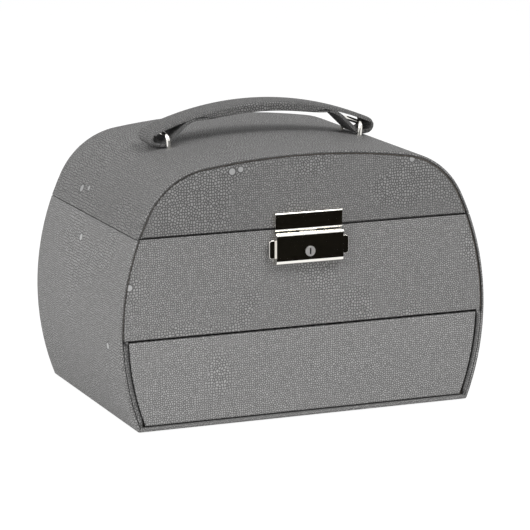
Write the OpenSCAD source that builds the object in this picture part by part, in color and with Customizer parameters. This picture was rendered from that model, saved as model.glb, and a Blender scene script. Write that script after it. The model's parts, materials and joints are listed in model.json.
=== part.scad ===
// Travel jewelry case: leather-covered case with bulging sides, an arched lid on rear hinges,
// a drawer under the main compartment, a front lock and a strap handle.
// Origin: centre of the felt pad's rest face. +X right, +Y to the rear, +Z up. Millimetres.

/* [Case] */
// Width of the case at its widest line
body_w = 220; // [200:1:270]
// Depth from the front face to the rear face
body_d = 145; // [120:1:200]
// Height of the lid's highest line
body_h = 150.5; // [124:0.5:185]
// Height of the base, up to the split with the lid
base_h = 108; // [90:0.5:112]
// Radius of the bulging sides below the widest line
side_r = 150; // [120:1:200]
// Height of the widest line
side_z = 55; // [45:1:66]
// How far each bulging side has leaned in at the level of the lid's highest line
side_lean = 34.33; // [30:0.01:38]
// Radius of the lid's shoulders
corner_r = 45; // [36:1:55]
// Radius of the lid's crown
top_r = 413; // [330:1:520]
// Gap between base and lid
split_gap = 0.6; // [0.3:0.1:1.2]

/* [Shell] */
// Thickness of the leather covering
leather_t = 1; // [0.8:0.1:1.6]
// Thickness of the side, front, back and top boards
board_t = 2.6; // [2:0.1:4]
// Thickness of the bottom board
bottom_board_t = 1.8; // [1.5:0.1:4]
// Width of the folded leather rim round the front and back
rim_w = 2; // [1.2:0.1:3]
// Gap between the rim and the inset facing
seam_gap = 0.3; // [0.2:0.1:0.6]
// Depth of the facing behind the rim
facing_set = 0.3; // [0:0.1:0.6]
// Thickness of the suede linings
lining_t = 1; // [0.8:0.1:2]
// Thickness of the felt pad underneath
pad_t = 0.6; // [0.5:0.1:2]
// Distance of the felt pad from the bottom's edges
pad_inset = 5; // [3:1:10]

/* [Drawer] */
// Height of the drawer bay's ceiling
bay_top = 52.3; // [40:0.1:64]
// Gap above the drawer front
drawer_gap_top = 1; // [0.6:0.1:1.5]
// Gap at the drawer front's sides and bottom
drawer_gap = 0.5; // [0.4:0.1:1]
// Thickness of the drawer's front board
drawer_front_t = 3; // [2:0.1:5]
// Thickness of the drawer's sides, back and bottom
drawer_board_t = 2.4; // [2:0.1:4]
// Height of the drawer's sides
drawer_side_h = 38; // [30:1:40]
// Clearance behind the drawer
drawer_rear_gap = 2; // [1:0.5:10]
// Width of the drawer guides
guide_w = 2.2; // [2:0.1:4]
// Height of the drawer guides
guide_h = 9; // [6:1:15]
// Running gap between a guide and the drawer
guide_gap = 0.5; // [0.3:0.1:1]

/* [Interior] */
// Distance of the dividers' top edges below the split
divider_drop = 9; // [6:1:20]
// Thickness of the dividers
divider_t = 2.4; // [2:0.1:4]
// Place of the long divider, from the case's middle
long_divider_y = 20; // [5:1:30]
// Place of the front cross divider, right of the middle
front_divider_x = 12; // [0:1:30]
// Place of the rear cross divider, left of the middle
rear_divider_x = -28; // [-50:1:20]
// Width of a ring roll
roll_w = 15.6; // [12:0.1:16]
// Height of a ring roll
roll_h = 24; // [16:1:30]
// Thickness of the compartment's floor pad
floor_pad_t = 4; // [3:0.5:6]
// Width of the lid mirror's frame
mirror_w = 124; // [100:1:130]
// Depth of the lid mirror's frame
mirror_d = 92; // [70:1:100]
// Width of the frame's bars
mirror_bar = 5; // [4:0.5:8]
// Thickness of the mirror's frame
mirror_frame_t = 2.4; // [2:0.1:4]
// Distance of the mirror's seat below the lid's highest line
mirror_drop = 11; // [9:0.5:14]

/* [Lock] */
// Width of the lock body and the hasp plate
lock_w = 40; // [34:1:46]
// Height of the lock body
lock_h = 18; // [16:1:22]
// How far the lock body stands proud of the front
lock_t = 5; // [4.8:0.1:7]
// Distance of the lock body's top below the split
lock_drop = 1.5; // [1:0.1:3]
// Wall of the lock body
lock_wall = 0.9; // [0.8:0.1:1.2]
// Height of the hasp plate
hasp_h = 10.5; // [8:0.1:12]
// How far the hasp plate stands proud
hasp_t = 3; // [2.5:0.1:4]
// Gap between the lock body and the hasp plate above it
hasp_gap = 0.6; // [0.4:0.1:1.5]
// Width of the hasp's tongue
tongue_w = 10; // [8:0.5:12]
// Length of the tongue below the hasp plate
tongue_l = 12.5; // [10:0.5:13]
// Radius of the key cylinder
key_r = 2.9; // [2.5:0.1:3.6]
// Height of the release slider
slider_h = 10.4; // [9:0.1:12]
// Travel of the release slider
slider_travel = 2.5; // [2:0.1:2.8]
// How far the slider's pressed end still stands out of the lock body
slider_rest = 1.3; // [0.8:0.1:3]
// Running gap of the lock's moving pieces
lock_gap = 0.25; // [0.15:0.05:0.4]

/* [Hinges] */
// Distance of each hinge from the case's middle
hinge_x = 62; // [45:1:70]
// Width of a hinge
hinge_w = 28; // [22:1:34]
// Height of a hinge leaf
leaf_h = 12; // [9:1:16]
// Thickness of a hinge leaf
leaf_t = 1; // [0.8:0.1:1.2]
// Radius of the hinge knuckles
knuckle_r = 2.1; // [1.8:0.1:2.4]
// Distance of the hinge axis behind the rear face
hinge_out = 2.6; // [2.5:0.1:3]
// Radius of the hinge pins
pin_r = 1; // [0.8:0.1:1.2]
// Radial clearance of pins, screws and rivets in their holes
pin_fit = 0.05; // [0.02:0.01:0.1]

/* [Handle] */
// Width of the strap
strap_w = 20; // [16:1:24]
// Thickness of one strap layer
strap_t = 1.8; // [1.5:0.1:2.4]
// Thickness of the strap's padded lining in the middle
strap_pad_t = 3.6; // [1.8:0.1:4.5]
// Height of the strap's highest line above the lid's highest line
strap_rise = 18.8; // [16:0.2:24]
// Radius of the strap's arch
strap_r = 173; // [165:1:185]
// Radius of the strap's end loops
loop_r = 4.8; // [4.4:0.1:6]
// Gap between the resting loops and the lid
loop_gap = 0.6; // [0.3:0.1:1.5]
// Distance from the middle at which the strap's two layers part
strap_part_x = 43; // [36:1:46]
// Length of the strap's turned-in end that lies along the lid
loop_foot = 6; // [5:0.1:7]
// Angle at which the turned-in end rises through the bail
loop_rise_a = 50; // [40:1:55]
// Length of the end's steep part
loop_rise_l = 8; // [5:0.5:9]
// Distance of each bail from the middle
bail_x = 58.3; // [55:0.1:61]
// Radius of the bail's wire
wire_r = 1.3; // [1:0.1:1.5]
// Gap between the strap's edge and a bail's leg
bail_gap = 0.8; // [0.5:0.1:2]
// Height of the bail's bar above the lid, to its middle line
bail_h = 7.4; // [6.5:0.1:8]
// Radius of the bail's bends, to the middle line
bail_bend = 3; // [2:0.1:4]
// Thickness of the washers on the bails' legs
washer_t = 0.8; // [0.6:0.1:1]
// Radius of the washers on the bails' legs
washer_r = 3; // [2.5:0.1:3.5]

/* [Hidden] */
$fn = 48;
eps = 0.01;
// Longer than any distance across the case
far = 400;

// Planes of the case
front_y = -body_d / 2;
back_y = body_d / 2;
wall_t = leather_t + board_t;
lid_z = base_h + split_gap;
rail_z = pad_t + leather_t + bottom_board_t;
deck_z = bay_top + board_t;
floor_z = deck_z + lining_t;
liner_in = wall_t + lining_t;
divider_top = base_h - divider_drop;
mirror_z = body_h - mirror_drop;

// Lower side arc, upper side arc, shoulder arc and crown arc of the outline, each tangent to the next
side_rise = body_h - side_z;
upper_r = (side_rise * side_rise + side_lean * side_lean) / (2 * side_lean);
side_cx = body_w / 2 - upper_r;
top_cz = body_h - top_r;
reach_side = upper_r - corner_r;
reach_top = top_r - corner_r;
centres_dx = -side_cx;
centres_dz = top_cz - side_z;
centres_l = norm([centres_dx, centres_dz]);
along = (reach_side * reach_side - reach_top * reach_top + centres_l * centres_l) / (2 * centres_l);
across = sqrt(reach_side * reach_side - along * along);
corner_cx = side_cx + (centres_dx * along - centres_dz * across) / centres_l;
corner_cz = side_z + (centres_dz * along + centres_dx * across) / centres_l;
shoulder_a = atan2(corner_cz - side_z, corner_cx - side_cx);
crown_a = atan2(corner_cz - top_cz, corner_cx);
foot_a = -asin(side_z / side_r);

function arc(cx, cz, r, a0, a1, n) =
    [for (i = [0:n]) let (a = a0 + (a1 - a0) * i / n) [cx + r * cos(a), cz + r * sin(a)]];
function tail(points) = [for (i = [1:len(points) - 1]) points[i]];
function head(points) = [for (i = [0:len(points) - 2]) points[i]];
function mirrored(points) = [for (i = [len(points) - 1:-1:0]) [-points[i][0], points[i][1]]];
function side_arc_r(z) = z < side_z ? side_r : upper_r;
// Half width of the outline at a height below the shoulder
function side_x(z) = body_w / 2 - side_arc_r(z) + sqrt(pow(side_arc_r(z), 2) - pow(z - side_z, 2));
function on_crown(x) = x < top_r * cos(crown_a);
// Height of the outline's top at a distance from the middle, on the crown or on the shoulder
function lid_top_z(x) = on_crown(x) ? top_cz + sqrt(top_r * top_r - x * x)
    : corner_cz + sqrt(corner_r * corner_r - (x - corner_cx) * (x - corner_cx));
// Slope of the outline's top there
function lid_top_a(x) = on_crown(x) ? asin(x / top_r) : asin((x - corner_cx) / corner_r);

// Right half of the outline, set in by t, from the foot to the crown
function half_outline(t) = concat(
    arc(body_w / 2 - side_r, side_z, side_r - t, foot_a, 0, 4),
    tail(arc(side_cx, side_z, upper_r - t, 0, shoulder_a, 5)),
    tail(arc(corner_cx, corner_cz, corner_r - t, shoulder_a, crown_a, 9)),
    tail(arc(0, top_cz, top_r - t, crown_a, 90, 3)));

module outline(t, z0, z1) {
    half = half_outline(t);
    intersection() {
        polygon(concat(half, tail(mirrored(half))));
        translate([-far / 2, z0]) square([far, z1 - z0]);
    }
}

// Block with the case's outline set in by t, between two heights and two depths
module slab(t, z0, z1, y0, y1) {
    translate([0, y1, 0]) rotate([90, 0, 0]) linear_extrude(y1 - y0) outline(t, z0, z1);
}

// Flat arch drawn in X and Z, centred on the middle plane
module strip(width) {
    translate([0, width / 2, 0]) rotate([90, 0, 0]) linear_extrude(width) children();
}

module block(x0, x1, y0, y1, z0, z1) {
    translate([x0, y0, z0]) cube([x1 - x0, y1 - y0, z1 - z0]);
}

// Round bar along Y from y0 to y1
module bar_y(x, z, r, y0, y1) {
    translate([x, y1, z]) rotate([90, 0, 0]) cylinder(r = r, h = y1 - y0);
}

// Round bar along X from x0 to x1
module bar_x(y, z, r, x0, x1) {
    translate([x0, y, z]) rotate([0, 90, 0]) cylinder(r = r, h = x1 - x0);
}

module right_half() {
    intersection() {
        children();
        block(0, far, -far, far, -far, far);
    }
}

/* ---- Base ---- */

module bottom_pad() {
    half_w = side_x(0) - pad_inset;
    color([0.1, 0.1, 0.1])
        block(-half_w, half_w, front_y + pad_inset, back_y - pad_inset, 0, pad_t);
}

module base_wrap() {
    color([0.52, 0.52, 0.52]) difference() {
        slab(0, pad_t, base_h, front_y, back_y);
        slab(leather_t, pad_t + leather_t, base_h - leather_t, front_y + leather_t, back_y - leather_t);
        slab(wall_t, base_h - 2 * leather_t, far, front_y + leather_t, back_y - leather_t);
        slab(wall_t, rail_z, bay_top + eps, front_y - 1, front_y + 2 * leather_t);
        slab(rim_w, bay_top, far, front_y - 1, front_y + leather_t + eps);
        slab(rim_w, pad_t + rim_w, far, back_y - leather_t - eps, back_y + 1);
        block(-side_x(base_h) + wall_t, side_x(base_h) - wall_t,
              front_y - 1, back_y + 1, base_h - leather_t, far);
    }
}

module side_board() {
    right_half() difference() {
        slab(leather_t, pad_t + leather_t, base_h - leather_t, front_y + leather_t, back_y - leather_t);
        slab(wall_t, 0, far, front_y, back_y);
    }
}

module base_side_board_right() {
    color([0.45, 0.36, 0.26]) side_board();
}

module base_side_board_left() {
    color([0.45, 0.36, 0.26]) mirror([1, 0, 0]) side_board();
}

module base_bottom_board() {
    color([0.45, 0.36, 0.26])
        slab(wall_t, pad_t + leather_t, rail_z, front_y + leather_t, back_y - leather_t);
}

module base_front_board() {
    color([0.45, 0.36, 0.26]) difference() {
        slab(wall_t, bay_top + leather_t, base_h - leather_t, front_y + leather_t, front_y + wall_t);
        lock_rivet_shanks(lock_rivet_r + pin_fit);
    }
}

// Leather facing over the front board, folded over the board's upper and lower edges
module base_front_facing() {
    color([0.53, 0.53, 0.53]) difference() {
        union() {
            slab(rim_w + seam_gap, bay_top, base_h, front_y + facing_set, front_y + leather_t);
            slab(wall_t, bay_top, bay_top + leather_t, front_y + leather_t - eps, front_y + wall_t);
            slab(wall_t, base_h - leather_t, base_h, front_y + leather_t - eps, front_y + wall_t);
        }
        lock_rivet_shanks(lock_rivet_r + pin_fit);
    }
}

module base_back_board() {
    color([0.45, 0.36, 0.26]) difference() {
        slab(wall_t, rail_z, base_h - leather_t, back_y - wall_t, back_y - leather_t);
        hinge_screws_in(-1, screw_r + pin_fit);
    }
}

module base_back_facing() {
    color([0.53, 0.53, 0.53]) difference() {
        union() {
            slab(rim_w + seam_gap, pad_t + rim_w + seam_gap, base_h,
                 back_y - leather_t, back_y - facing_set);
            slab(wall_t, base_h - leather_t, base_h, back_y - wall_t, back_y - leather_t + eps);
        }
        hinge_screws_in(-1, screw_r + pin_fit);
    }
}

module deck_board() {
    color([0.45, 0.36, 0.26]) slab(wall_t, bay_top, deck_z, front_y + wall_t, back_y - wall_t);
}

// Outer face of the drawer's sides
guide_in = side_x(rail_z) - wall_t - 0.4 - guide_w;
drawer_half_w = guide_in - guide_gap;

module drawer_guides() {
    color([0.75, 0.66, 0.5]) for (s = [0, 1]) mirror([s, 0, 0])
        block(guide_in, guide_in + guide_w, front_y + wall_t + drawer_front_t, back_y - wall_t,
              rail_z, rail_z + guide_h);
}

module compartment_liner() {
    color([0.2, 0.2, 0.2]) difference() {
        slab(wall_t, deck_z, base_h - leather_t, front_y + wall_t, back_y - wall_t);
        slab(liner_in, floor_z, far, front_y + liner_in, back_y - liner_in);
    }
}

module long_divider() {
    color([0.2, 0.2, 0.2])
        slab(liner_in, floor_z, divider_top, long_divider_y, long_divider_y + divider_t);
}

module front_cross_divider() {
    color([0.2, 0.2, 0.2]) block(front_divider_x, front_divider_x + divider_t,
                                 front_y + liner_in, long_divider_y, floor_z, divider_top);
}

module rear_cross_divider() {
    color([0.2, 0.2, 0.2]) block(rear_divider_x, rear_divider_x + divider_t,
                                 long_divider_y + divider_t, back_y - liner_in, floor_z, divider_top);
}

// Gap between soft pads and what stands round them
soft_gap = 0.5;

module floor_pad() {
    color([0.22, 0.22, 0.22])
        block(front_divider_x + divider_t + soft_gap, side_x(floor_z) - liner_in - 2 * soft_gap,
              front_y + liner_in + soft_gap, long_divider_y - soft_gap, floor_z, floor_z + floor_pad_t);
}

roll_count = 5;
roll_room = long_divider_y - (front_y + liner_in);
roll_x0 = -(side_x(floor_z + roll_h) - liner_in - 2 * soft_gap);
roll_x1 = front_divider_x - soft_gap;
function roll_y(i) = front_y + liner_in + roll_room * (i + 0.5) / roll_count;

// Foam roll with a flat foot and a round top
module ring_roll(i) {
    color([0.2, 0.2, 0.2]) {
        block(roll_x0, roll_x1, roll_y(i) - roll_w / 2, roll_y(i) + roll_w / 2,
              floor_z, floor_z + roll_h - roll_w / 2);
        intersection() {
            bar_x(roll_y(i), floor_z + roll_h - roll_w / 2, roll_w / 2, roll_x0, roll_x1);
            block(roll_x0, roll_x1, -far, far, floor_z + roll_h - roll_w / 2, far);
        }
    }
}

module ring_roll_1() { ring_roll(0); }
module ring_roll_2() { ring_roll(1); }
module ring_roll_3() { ring_roll(2); }
module ring_roll_4() { ring_roll(3); }
module ring_roll_5() { ring_roll(4); }

/* ---- Lock ---- */

// Planes of the lock, from the front to the facing that it sits on
lock_y = front_y - lock_t;
seat_y = front_y + facing_set;
lock_z1 = base_h - lock_drop;
lock_z0 = lock_z1 - lock_h;
lock_mid_z = (lock_z0 + lock_z1) / 2;
cavity_y = lock_y + lock_wall;
cam_t = 0.4;
slider_t = 1.3;
slider_y = cavity_y + cam_t + lock_gap;
tongue_t = 0.9;
tongue_y = front_y - tongue_t - 0.3;
plate_t = 0.4;
edge_round = 1.4;
lock_rivet_r = 1.1;
rivet_x = lock_w / 2 - 4.5;
rivet_head_r = 2;
rivet_head_t = 0.5;

module lock_rivet_shanks(r) {
    for (s = [-1, 1]) bar_y(s * rivet_x, lock_mid_z, r, seat_y - plate_t - eps, front_y + wall_t);
}

// Plate with rounded upper and lower front edges, from the front plane to the back plane
module edged_plate(w, z0, z1, y0, y1, r) {
    block(-w / 2, w / 2, y0 + r, y1, z0, z1);
    block(-w / 2, w / 2, y0, y1, z0 + r, z1 - r);
    for (z = [z0 + r, z1 - r]) bar_x(y0 + r, z, r, -w / 2, w / 2);
}

module lock_body() {
    color([0.7, 0.7, 0.72]) difference() {
        edged_plate(lock_w, lock_z0, lock_z1, lock_y, seat_y, edge_round);
        block(-lock_w / 2 + lock_wall, lock_w / 2 - lock_wall, cavity_y, far,
              lock_z0 + lock_wall, lock_z1 - lock_wall);
        // Slot for the hasp's tongue
        block(-tongue_w / 2 - 2 * lock_gap, tongue_w / 2 + 2 * lock_gap,
              tongue_y - 4 * lock_gap, front_y - lock_gap / 2, lock_z1 - 2 * lock_wall, far);
        // Slots for the slider's ends
        block(-far, far, slider_y - lock_gap / 2, slider_y + slider_t + lock_gap / 2,
              lock_mid_z - slider_h / 2 - lock_gap, lock_mid_z + slider_h / 2 + lock_gap);
        bar_y(0, key_z, key_r + pin_fit, lock_y - 1, cavity_y + eps);
    }
}

module lock_back_plate() {
    color([0.7, 0.7, 0.72]) difference() {
        block(-lock_w / 2 + lock_wall, lock_w / 2 - lock_wall, seat_y - plate_t, seat_y,
              lock_z0 + lock_wall, lock_z1 - lock_wall);
        lock_rivet_shanks(lock_rivet_r + pin_fit);
    }
}

module lock_rivets() {
    color([0.7, 0.7, 0.72]) {
        lock_rivet_shanks(lock_rivet_r);
        for (s = [-1, 1])
            bar_y(s * rivet_x, lock_mid_z, rivet_head_r,
                  seat_y - plate_t - rivet_head_t, seat_y - plate_t);
    }
}

// Catch beside the tongue, on the slider's back
catch_w = 2;
catch_x = tongue_w / 2 + 2 * lock_gap;
catch_t = front_y - 0.4 - slider_y - slider_t;
key_z = lock_mid_z - 1.9;

module release_slider() {
    half_w = lock_w / 2 + slider_travel + slider_rest;
    color([0.72, 0.72, 0.74]) {
        edged_end_bar(half_w);
        block(catch_x, catch_x + catch_w, slider_y + slider_t - eps, slider_y + slider_t + catch_t,
              lock_mid_z - slider_h / 4, lock_mid_z + slider_h / 4);
    }
}

// Flat bar with chamfered outer corners
module edged_end_bar(half_w) {
    cut = 1;
    z0 = lock_mid_z - slider_h / 2;
    z1 = lock_mid_z + slider_h / 2;
    translate([0, slider_y + slider_t, 0]) rotate([90, 0, 0]) linear_extrude(slider_t)
        polygon([[-half_w + cut, z0], [half_w - cut, z0], [half_w, z0 + cut], [half_w, z1 - cut],
                 [half_w - cut, z1], [-half_w + cut, z1], [-half_w, z1 - cut], [-half_w, z0 + cut]]);
}

// Bent leaf spring between the catch and the lock body's right wall
module lock_spring() {
    spring_t = 0.3;
    x0 = catch_x + catch_w;
    x1 = lock_w / 2 - lock_wall;
    y0 = slider_y + slider_t + lock_gap;
    y1 = seat_y - plate_t - rivet_head_t - lock_gap;
    z0 = lock_z0 + lock_wall + lock_gap;
    color([0.6, 0.6, 0.62]) difference() {
        block(x0, x1, y0, y1, z0, z0 + 2);
        block(x0 + spring_t, x1 - spring_t, y0 - 1, y1 - spring_t, z0 - 1, z0 + 3);
    }
}

module key_cylinder() {
    key_out = 0.4;
    slot_w = 0.9;
    slot_h = 3.6;
    color([0.75, 0.75, 0.77]) difference() {
        union() {
            bar_y(0, key_z, key_r, lock_y - key_out, cavity_y);
            bar_y(0, key_z, key_r + 0.6, cavity_y + lock_gap / 4, cavity_y + cam_t);
            bar_y(0, key_z, key_r - 0.6, cavity_y - eps, cavity_y + cam_t);
        }
        block(-slot_w / 2, slot_w / 2, lock_y - 1, lock_y + lock_wall / 2,
              key_z - slot_h / 2, key_z + slot_h / 2);
    }
}

/* ---- Hinges ---- */

axis_y = back_y + hinge_out;
axis_z = base_h + split_gap / 2;
leaf_y = back_y - facing_set;
screw_r = 1.2;
screw_head_r = 2.2;
screw_head_t = 0.5;
screw_dx = hinge_w / 2 - 5;
screw_dz = leaf_h - 4.5;
knuckle_gap = 0.3;

// Screw shanks of both hinges, below (-1) or above (+1) the split
module hinge_screws_in(side, r) {
    for (h = [-1, 1]) for (s = [-1, 1])
        bar_y(h * hinge_x + s * screw_dx, axis_z + side * screw_dz, r,
              back_y - wall_t, leaf_y + leaf_t - screw_head_t + eps);
}

module hinge_screw_heads(side, r) {
    for (h = [-1, 1]) for (s = [-1, 1])
        bar_y(h * hinge_x + s * screw_dx, axis_z + side * screw_dz, r,
              leaf_y + leaf_t - screw_head_t, leaf_y + leaf_t);
}

// Leaf of one hinge: a plate and its knuckles, outer pair on the base, centre one on the lid
module hinge_leaf(x, side) {
    third = hinge_w / 3;
    spans = side < 0 ? [[-hinge_w / 2, -third / 2], [third / 2, hinge_w / 2]]
                     : [[-third / 2 + knuckle_gap, third / 2 - knuckle_gap]];
    z_far = axis_z + side * leaf_h;
    z_near = axis_z + side * (knuckle_r + 0.4);
    color([0.7, 0.7, 0.72]) difference() {
        union() {
            block(x - hinge_w / 2, x + hinge_w / 2, leaf_y, leaf_y + leaf_t,
                  min(z_far, z_near), max(z_far, z_near));
            for (span = spans) {
                block(x + span[0], x + span[1], leaf_y, leaf_y + leaf_t,
                      min(axis_z, z_near), max(axis_z, z_near));
                bar_x(axis_y, axis_z, knuckle_r, x + span[0], x + span[1]);
            }
        }
        bar_x(axis_y, axis_z, pin_r + pin_fit, x - hinge_w, x + hinge_w);
        hinge_screws_in(side, screw_r + pin_fit);
        hinge_screw_heads(side, screw_head_r + pin_fit);
    }
}

module hinge_base_leaf_left() { hinge_leaf(-hinge_x, -1); }
module hinge_base_leaf_right() { hinge_leaf(hinge_x, -1); }
module hinge_lid_leaf_left() { hinge_leaf(-hinge_x, 1); }
module hinge_lid_leaf_right() { hinge_leaf(hinge_x, 1); }

module hinge_pins() {
    color([0.75, 0.75, 0.77]) for (h = [-1, 1])
        bar_x(axis_y, axis_z, pin_r, h * hinge_x - hinge_w / 2, h * hinge_x + hinge_w / 2);
}

module hinge_screws(side) {
    slot_w = 0.6;
    color([0.75, 0.75, 0.77]) {
        hinge_screws_in(side, screw_r);
        difference() {
            hinge_screw_heads(side, screw_head_r);
            for (h = [-1, 1]) for (s = [-1, 1])
                block(h * hinge_x + s * screw_dx - screw_head_r, h * hinge_x + s * screw_dx + screw_head_r,
                      leaf_y + leaf_t - screw_head_t / 2, far,
                      axis_z + side * screw_dz - slot_w / 2, axis_z + side * screw_dz + slot_w / 2);
        }
    }
}

module hinge_base_screws() { hinge_screws(-1); }
module hinge_lid_screws() { hinge_screws(1); }

/* ---- Lid ---- */

module lid_wrap() {
    color([0.48, 0.48, 0.48]) difference() {
        slab(0, lid_z, far, front_y, back_y);
        slab(leather_t, lid_z + leather_t, far, front_y + leather_t, back_y - leather_t);
        slab(wall_t, 0, lid_z + 2 * leather_t, front_y + leather_t, back_y - leather_t);
        slab(rim_w, 0, far, front_y - 1, front_y + leather_t + eps);
        slab(rim_w, 0, far, back_y - leather_t - eps, back_y + 1);
        bail_legs(wire_r + pin_fit);
    }
}

module lid_band_board() {
    color([0.45, 0.36, 0.26]) difference() {
        slab(leather_t, lid_z + leather_t, far, front_y + leather_t, back_y - leather_t);
        slab(wall_t, 0, far, front_y, back_y);
        bail_legs(wire_r + pin_fit);
    }
}

module lid_end_board(y0, y1) {
    slab(wall_t, lid_z + leather_t, far, y0, y1);
}

module lid_front_board() {
    color([0.45, 0.36, 0.26]) difference() {
        lid_end_board(front_y + leather_t, front_y + wall_t);
        hasp_rivet_shanks(lock_rivet_r + pin_fit);
    }
}

module lid_back_board() {
    color([0.45, 0.36, 0.26]) difference() {
        lid_end_board(back_y - wall_t, back_y - leather_t);
        hinge_screws_in(1, screw_r + pin_fit);
    }
}

module lid_front_facing() {
    color([0.44, 0.44, 0.44]) difference() {
        union() {
            slab(rim_w + seam_gap, lid_z, far, front_y + facing_set, front_y + leather_t);
            slab(wall_t, lid_z, lid_z + leather_t, front_y + leather_t - eps, front_y + wall_t);
        }
        hasp_rivet_shanks(lock_rivet_r + pin_fit);
    }
}

module lid_back_facing() {
    color([0.44, 0.44, 0.44]) difference() {
        union() {
            slab(rim_w + seam_gap, lid_z, far, back_y - leather_t, back_y - facing_set);
            slab(wall_t, lid_z, lid_z + leather_t, back_y - wall_t, back_y - leather_t + eps);
        }
        hinge_screws_in(1, screw_r + pin_fit);
    }
}

module lid_liner() {
    color([0.2, 0.2, 0.2]) difference() {
        slab(wall_t, lid_z + leather_t, far, front_y + wall_t, back_y - wall_t);
        slab(liner_in, 0, far, front_y + liner_in, back_y - liner_in);
        bail_legs(wire_r + pin_fit);
        bail_washer_discs(washer_r + pin_fit, 2);
    }
}

module mirror_backing() {
    color([0.2, 0.2, 0.2]) intersection() {
        slab(liner_in, mirror_z, far, -mirror_d / 2, mirror_d / 2);
        block(-mirror_w / 2, mirror_w / 2, -far, far, mirror_z, far);
    }
}

mirror_glass_t = 1.2;

module mirror_frame() {
    color([0.7, 0.7, 0.72]) difference() {
        block(-mirror_w / 2, mirror_w / 2, -mirror_d / 2, mirror_d / 2, mirror_z - mirror_frame_t, mirror_z);
        block(-mirror_w / 2 + mirror_bar, mirror_w / 2 - mirror_bar,
              -mirror_d / 2 + mirror_bar, mirror_d / 2 - mirror_bar, 0, far);
        block(-mirror_w / 2 + mirror_bar / 2, mirror_w / 2 - mirror_bar / 2,
              -mirror_d / 2 + mirror_bar / 2, mirror_d / 2 - mirror_bar / 2,
              mirror_z - mirror_glass_t, far);
    }
}

module mirror_glass() {
    color([0.8, 0.85, 0.88])
        block(-mirror_w / 2 + mirror_bar / 2 + lock_gap, mirror_w / 2 - mirror_bar / 2 - lock_gap,
              -mirror_d / 2 + mirror_bar / 2 + lock_gap, mirror_d / 2 - mirror_bar / 2 - lock_gap,
              mirror_z - mirror_glass_t, mirror_z);
}

hasp_z0 = lock_z1 + hasp_gap;
hasp_z1 = hasp_z0 + hasp_h;
hasp_y = front_y - hasp_t;
hasp_rivet_z = lid_z + leather_t + board_t;

module hasp_rivet_shanks(r) {
    for (s = [-1, 1]) bar_y(s * rivet_x, hasp_rivet_z, r, seat_y, front_y + wall_t);
}

module hasp_plate() {
    notch = 1.4;
    color([0.7, 0.7, 0.72]) {
        difference() {
            edged_plate(lock_w, hasp_z0, hasp_z1, hasp_y, seat_y, edge_round);
            block(-far, far, front_y - 0.1, far, 0, lid_z + 0.5);
        }
        difference() {
            block(-tongue_w / 2, tongue_w / 2, tongue_y, tongue_y + tongue_t,
                  hasp_z0 - tongue_l, hasp_z0 + 1);
            block(tongue_w / 2 - notch, far, -far, far,
                  lock_mid_z - slider_h / 4 - lock_gap, lock_mid_z + slider_h / 4 + lock_gap);
        }
    }
}

module hasp_rivets() {
    color([0.7, 0.7, 0.72]) hasp_rivet_shanks(lock_rivet_r);
}

/* ---- Handle and bails ---- */

bail_half = strap_w / 2 + bail_gap + wire_r;
bail_lean = lid_top_a(bail_x);
leg_depth = wall_t + washer_t + 0.2;

// Frame of one bail: origin on the lid's surface, Z square to it
module at_bail(side) {
    translate([side * bail_x, 0, lid_top_z(bail_x)]) rotate([0, side * bail_lean, 0]) children();
}

module bail_legs(r) {
    for (side = [-1, 1]) at_bail(side) for (s = [-1, 1])
        translate([0, s * bail_half, -leg_depth]) cylinder(r = r, h = leg_depth + 2 * wire_r);
}

module bail_washer_discs(r, up) {
    for (side = [-1, 1]) at_bail(side) for (s = [-1, 1])
        translate([0, s * bail_half, -wall_t - washer_t - 0.1 - (up - 1) * 3])
            cylinder(r = r, h = washer_t + (up - 1) * 3);
}

module bail_wire() {
    leg_top = bail_h - bail_bend;
    for (s = [-1, 1]) {
        translate([0, s * bail_half, -leg_depth]) cylinder(r = wire_r, h = leg_depth + leg_top);
        translate([0, s * (bail_half - bail_bend), leg_top]) rotate([90, 0, 90])
            rotate_extrude(angle = s * 90) translate([s * bail_bend, 0]) circle(r = wire_r);
    }
    translate([0, bail_half - bail_bend, bail_h]) rotate([90, 0, 0])
        cylinder(r = wire_r, h = 2 * (bail_half - bail_bend));
}

module bail_left() {
    color([0.75, 0.75, 0.77]) at_bail(-1) bail_wire();
}

module bail_right() {
    color([0.75, 0.75, 0.77]) at_bail(1) bail_wire();
}

module bail_washers() {
    color([0.7, 0.7, 0.72]) difference() {
        bail_washer_discs(washer_r, 1);
        bail_legs(wire_r + pin_fit);
    }
}

// Strap arch: a circle round (0, arch_cz); the end loops are circles that touch it from inside
arch_cz = body_h + strap_rise - strap_r;
loop_reach = strap_r - loop_r;
function loop_cz_at(x) = arch_cz + sqrt(loop_reach * loop_reach - x * x);
// Each step moves the loop's centre along its circle until the gap below it is right
function loop_place(x, steps) = steps == 0 ? x
    : loop_place(x + (loop_cz_at(x) - loop_r - loop_gap - lid_top_z(x - loop_foot)) * 1.6, steps - 1);
// Distance of the loop's centre from the middle, where the loop just clears the lid
loop_cx = loop_place(body_w / 3.5, 8);
loop_cz = loop_cz_at(loop_cx);
loop_a = atan2(loop_cz - arch_cz, loop_cx);
under_r = strap_r - strap_t;
inner_r = loop_r - strap_t;

// The turned-in end's outer face: along the lid, up through the bail, then to the arch's underside
foot_0 = [loop_cx, loop_cz - loop_r];
foot_1 = foot_0 - [loop_foot, 0];
knee = foot_1 + loop_rise_l * [-cos(loop_rise_a), sin(loop_rise_a)];
part = [strap_part_x, arch_cz + sqrt(under_r * under_r - strap_part_x * strap_part_x)];
part_a = atan2(part[1] - arch_cz, part[0]);

function unit(v) = v / norm(v);
function inward(d) = [d[1], -d[0]];
// Point b of the path a, b, c moved in by t to the path's inner side
function inset(a, b, c, t) =
    let (n = inward(unit(b - a)), m = inward(unit(c - b))) b + (n + m) * t / (1 + n * m);

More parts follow.
